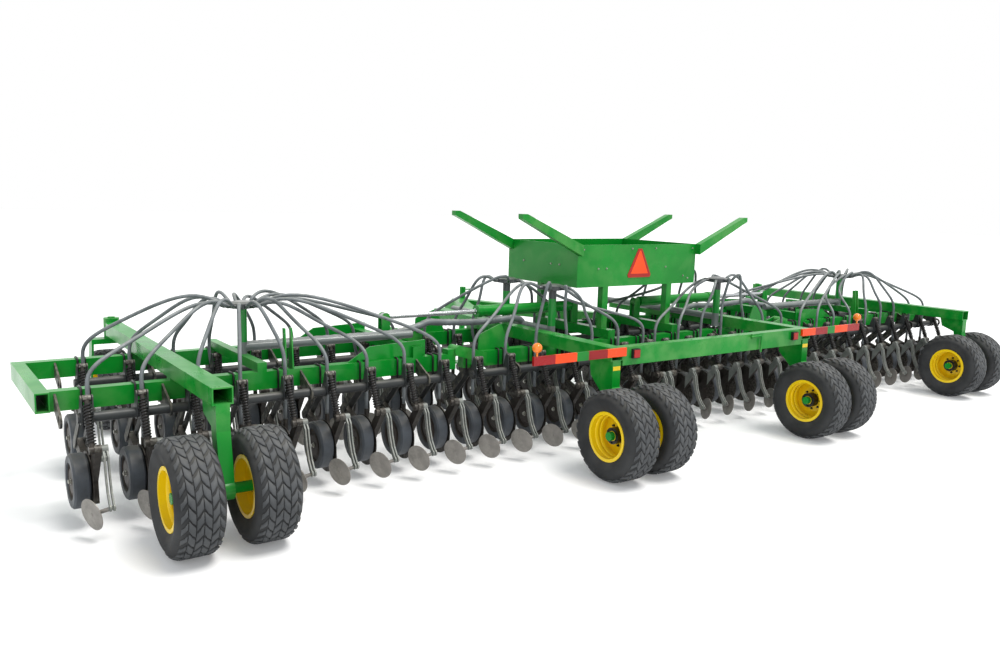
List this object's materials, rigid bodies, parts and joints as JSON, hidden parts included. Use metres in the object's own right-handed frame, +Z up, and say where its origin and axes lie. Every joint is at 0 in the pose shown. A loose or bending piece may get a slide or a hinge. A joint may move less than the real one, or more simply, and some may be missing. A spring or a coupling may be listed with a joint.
{
  "type": "three-section single-disc air drill",
  "caption": "Wide towed air drill in three hinged sections with two ranks of single-disc openers, rockshaft lift, twin rear wheels, front casters and folding wings.",
  "frame": {"origin": "on the floor under the middle of the machine's box", "axes": "+X to the right seen from behind, +Y forward towards the hitch, +Z up"},
  "size_m": [12.3, 6.4486, 2.35],
  "materials": {
    "paint": "satin",
    "tyre": "matte",
    "rim": "satin",
    "hose": "satin",
    "air_pipe": "satin",
    "gauge_wheel": "matte",
    "opener": "worn",
    "rockshaft": "satin",
    "cylinder": "gloss",
    "rod": "polished",
    "tape": "gloss",
    "lamp": "gloss",
    "sign": "gloss"
  },
  "bodies": {
    "centre_section": {"centre_frame": "paint", "centre_rails": "paint", "rear_crossbar": "paint", "drawbar": "paint", "parking_jack": "paint", "wing_rest": "paint", "centre_wheel_arms": "paint", "centre_hangers": "paint", "centre_towers": "air_pipe", "fold_barrels": "cylinder", "light_bars": "tape", "marker_lamps": "lamp", "slow_sign": "sign", "centre_hoses": "hose"},
    "left_wing": {"left_wing_frame": "paint", "left_wing_rail": "paint", "left_wing_wheel_arm": "paint", "left_wing_hangers": "paint", "left_wing_tower": "air_pipe", "left_wing_hoses": "hose"},
    "left_fold_rod": {"left_fold_rod": "rod"},
    "left_centre_wheels": {"left_centre_tyres": "tyre", "left_centre_rims": "rim"},
    "left_wing_wheels": {"left_wing_tyres": "tyre", "left_wing_rims": "rim"},
    "left_caster": {"left_caster_fork": "paint"},
    "left_caster_wheel": {"left_caster_tyre": "tyre", "left_caster_rim": "rim"},
    "right_wing": {"right_wing_frame": "paint", "right_wing_rail": "paint", "right_wing_wheel_arm": "paint", "right_wing_hangers": "paint", "right_wing_tower": "air_pipe", "right_wing_hoses": "hose"},
    "right_fold_rod": {"right_fold_rod": "rod"},
    "right_centre_wheels": {"right_centre_tyres": "tyre", "right_centre_rims": "rim"},
    "right_wing_wheels": {"right_wing_tyres": "tyre", "right_wing_rims": "rim"},
    "right_caster": {"right_caster_fork": "paint"},
    "right_caster_wheel": {"right_caster_tyre": "tyre", "right_caster_rim": "rim"},
    "centre_rear_gang": {"centre_rear_openers": "opener", "centre_rear_gauges": "gauge_wheel"},
    "centre_rear_rockshaft": {"centre_rear_shaft": "rockshaft"},
    "centre_front_gang": {"centre_front_openers": "opener", "centre_front_gauges": "gauge_wheel"},
    "centre_front_rockshaft": {"centre_front_shaft": "rockshaft"},
    "left_rear_gang": {"left_rear_openers": "opener", "left_rear_gauges": "gauge_wheel"},
    "left_rear_rockshaft": {"left_rear_shaft": "rockshaft"},
    "left_front_gang": {"left_front_openers": "opener", "left_front_gauges": "gauge_wheel"},
    "left_front_rockshaft": {"left_front_shaft": "rockshaft"},
    "right_rear_gang": {"right_rear_openers": "opener", "right_rear_gauges": "gauge_wheel"},
    "right_rear_rockshaft": {"right_rear_shaft": "rockshaft"},
    "right_front_gang": {"right_front_openers": "opener", "right_front_gauges": "gauge_wheel"},
    "right_front_rockshaft": {"right_front_shaft": "rockshaft"}
  },
  "joints": [
    {"name": "left_wing_fold", "type": "hinge", "parent": "centre_section", "child": "left_wing", "pos_m": [-2.5, -1.35575, 1.03], "axis": [0, 1, 0], "range_deg": [0, 120]},
    {"name": "left_rod_stroke", "type": "slide", "parent": "centre_section", "child": "left_fold_rod", "axis": [1, 0, 0], "range_m": [0, 0.92]},
    {"name": "left_centre_wheels_spin", "type": "hinge", "parent": "centre_section", "child": "left_centre_wheels", "pos_m": [-1.446, -2.80575, 0.4185], "axis": [-1, 0, 0], "continuous": true},
    {"name": "left_wing_wheels_spin", "type": "hinge", "parent": "left_wing", "child": "left_wing_wheels", "pos_m": [-5.12, -2.47575, 0.4185], "axis": [-1, 0, 0], "continuous": true},
    {"name": "left_caster_swivel", "type": "hinge", "parent": "left_wing", "child": "left_caster", "pos_m": [-5.12, 1.04425, 1], "axis": [0, 0, 1], "continuous": true},
    {"name": "left_caster_spin", "type": "hinge", "parent": "left_caster", "child": "left_caster_wheel", "pos_m": [-5.12, 1.19425, 0.4185], "axis": [-1, 0, 0], "continuous": true},
    {"name": "right_wing_fold", "type": "hinge", "parent": "centre_section", "child": "right_wing", "pos_m": [2.5, -1.35575, 1.03], "axis": [0, -1, 0], "range_deg": [0, 120]},
    {"name": "right_rod_stroke", "type": "slide", "parent": "centre_section", "child": "right_fold_rod", "axis": [-1, 0, 0], "range_m": [0, 0.92]},
    {"name": "right_centre_wheels_spin", "type": "hinge", "parent": "centre_section", "child": "right_centre_wheels", "pos_m": [1.446, -2.80575, 0.4185], "axis": [-1, 0, 0], "continuous": true},
    {"name": "right_wing_wheels_spin", "type": "hinge", "parent": "right_wing", "child": "right_wing_wheels", "pos_m": [5.12, -2.47575, 0.4185], "axis": [-1, 0, 0], "continuous": true},
    {"name": "right_caster_swivel", "type": "hinge", "parent": "right_wing", "child": "right_caster", "pos_m": [5.12, 1.04425, 1], "axis": [0, 0, 1], "continuous": true},
    {"name": "right_caster_spin", "type": "hinge", "parent": "right_caster", "child": "right_caster_wheel", "pos_m": [5.12, 1.19425, 0.4185], "axis": [-1, 0, 0], "continuous": true},
    {"name": "centre_rear_lift", "type": "hinge", "parent": "centre_section", "child": "centre_rear_gang", "pos_m": [0, -1.05575, 0.5], "axis": [-1, 0, 0], "range_deg": [-18, 0], "deforming": ["centre_hoses", "left_wing_hoses", "right_wing_hoses"]},
    {"name": "centre_rear_rockshaft_turn", "type": "hinge", "parent": "centre_section", "child": "centre_rear_rockshaft", "pos_m": [0, -1.59985, 0.83146], "axis": [-1, 0, 0], "range_deg": [-102.28, 1]},
    {"name": "centre_front_lift", "type": "hinge", "parent": "centre_section", "child": "centre_front_gang", "pos_m": [0, 0.19425, 0.5], "axis": [-1, 0, 0], "range_deg": [-18, 0]},
    {"name": "centre_front_rockshaft_turn", "type": "hinge", "parent": "centre_section", "child": "centre_front_rockshaft", "pos_m": [0, -0.34985, 0.83146], "axis": [-1, 0, 0], "range_deg": [-102.28, 1]},
    {"name": "left_rear_lift", "type": "hinge", "parent": "left_wing", "child": "left_rear_gang", "pos_m": [-4.2, -1.05575, 0.5], "axis": [-1, 0, 0], "range_deg": [-18, 0]},
    {"name": "left_rear_rockshaft_turn", "type": "hinge", "parent": "left_wing", "child": "left_rear_rockshaft", "pos_m": [-4.2, -1.59985, 0.83146], "axis": [-1, 0, 0], "range_deg": [-102.28, 1]},
    {"name": "left_front_lift", "type": "hinge", "parent": "left_wing", "child": "left_front_gang", "pos_m": [-4.2, 0.19425, 0.5], "axis": [-1, 0, 0], "range_deg": [-18, 0]},
    {"name": "left_front_rockshaft_turn", "type": "hinge", "parent": "left_wing", "child": "left_front_rockshaft", "pos_m": [-4.2, -0.34985, 0.83146], "axis": [-1, 0, 0], "range_deg": [-102.28, 1]},
    {"name": "right_rear_lift", "type": "hinge", "parent": "right_wing", "child": "right_rear_gang", "pos_m": [4.2, -1.05575, 0.5], "axis": [-1, 0, 0], "range_deg": [-18, 0]},
    {"name": "right_rear_rockshaft_turn", "type": "hinge", "parent": "right_wing", "child": "right_rear_rockshaft", "pos_m": [4.2, -1.59985, 0.83146], "axis": [-1, 0, 0], "range_deg": [-102.28, 1]},
    {"name": "right_front_lift", "type": "hinge", "parent": "right_wing", "child": "right_front_gang", "pos_m": [4.2, 0.19425, 0.5], "axis": [-1, 0, 0], "range_deg": [-18, 0]},
    {"name": "right_front_rockshaft_turn", "type": "hinge", "parent": "right_wing", "child": "right_front_rockshaft", "pos_m": [4.2, -0.34985, 0.83146], "axis": [-1, 0, 0], "range_deg": [-102.28, 1]}
  ],
  "couplings": [
    {"joint": "left_rod_stroke", "follows": "left_wing_fold", "m_per_rad": 0.43402},
    {"joint": "right_rod_stroke", "follows": "right_wing_fold", "m_per_rad": 0.43402},
    {"joint": "centre_rear_rockshaft_turn", "follows": "centre_rear_lift", "ratio": 5.6266},
    {"joint": "centre_front_lift", "follows": "centre_rear_lift", "ratio": 1},
    {"joint": "centre_front_rockshaft_turn", "follows": "centre_rear_lift", "ratio": 5.6266},
    {"joint": "left_rear_lift", "follows": "centre_rear_lift", "ratio": 1},
    {"joint": "left_rear_rockshaft_turn", "follows": "centre_rear_lift", "ratio": 5.6266},
    {"joint": "left_front_lift", "follows": "centre_rear_lift", "ratio": 1},
    {"joint": "left_front_rockshaft_turn", "follows": "centre_rear_lift", "ratio": 5.6266},
    {"joint": "right_rear_lift", "follows": "centre_rear_lift", "ratio": 1},
    {"joint": "right_rear_rockshaft_turn", "follows": "centre_rear_lift", "ratio": 5.6266},
    {"joint": "right_front_lift", "follows": "centre_rear_lift", "ratio": 1},
    {"joint": "right_front_rockshaft_turn", "follows": "centre_rear_lift", "ratio": 5.6266}
  ]
}
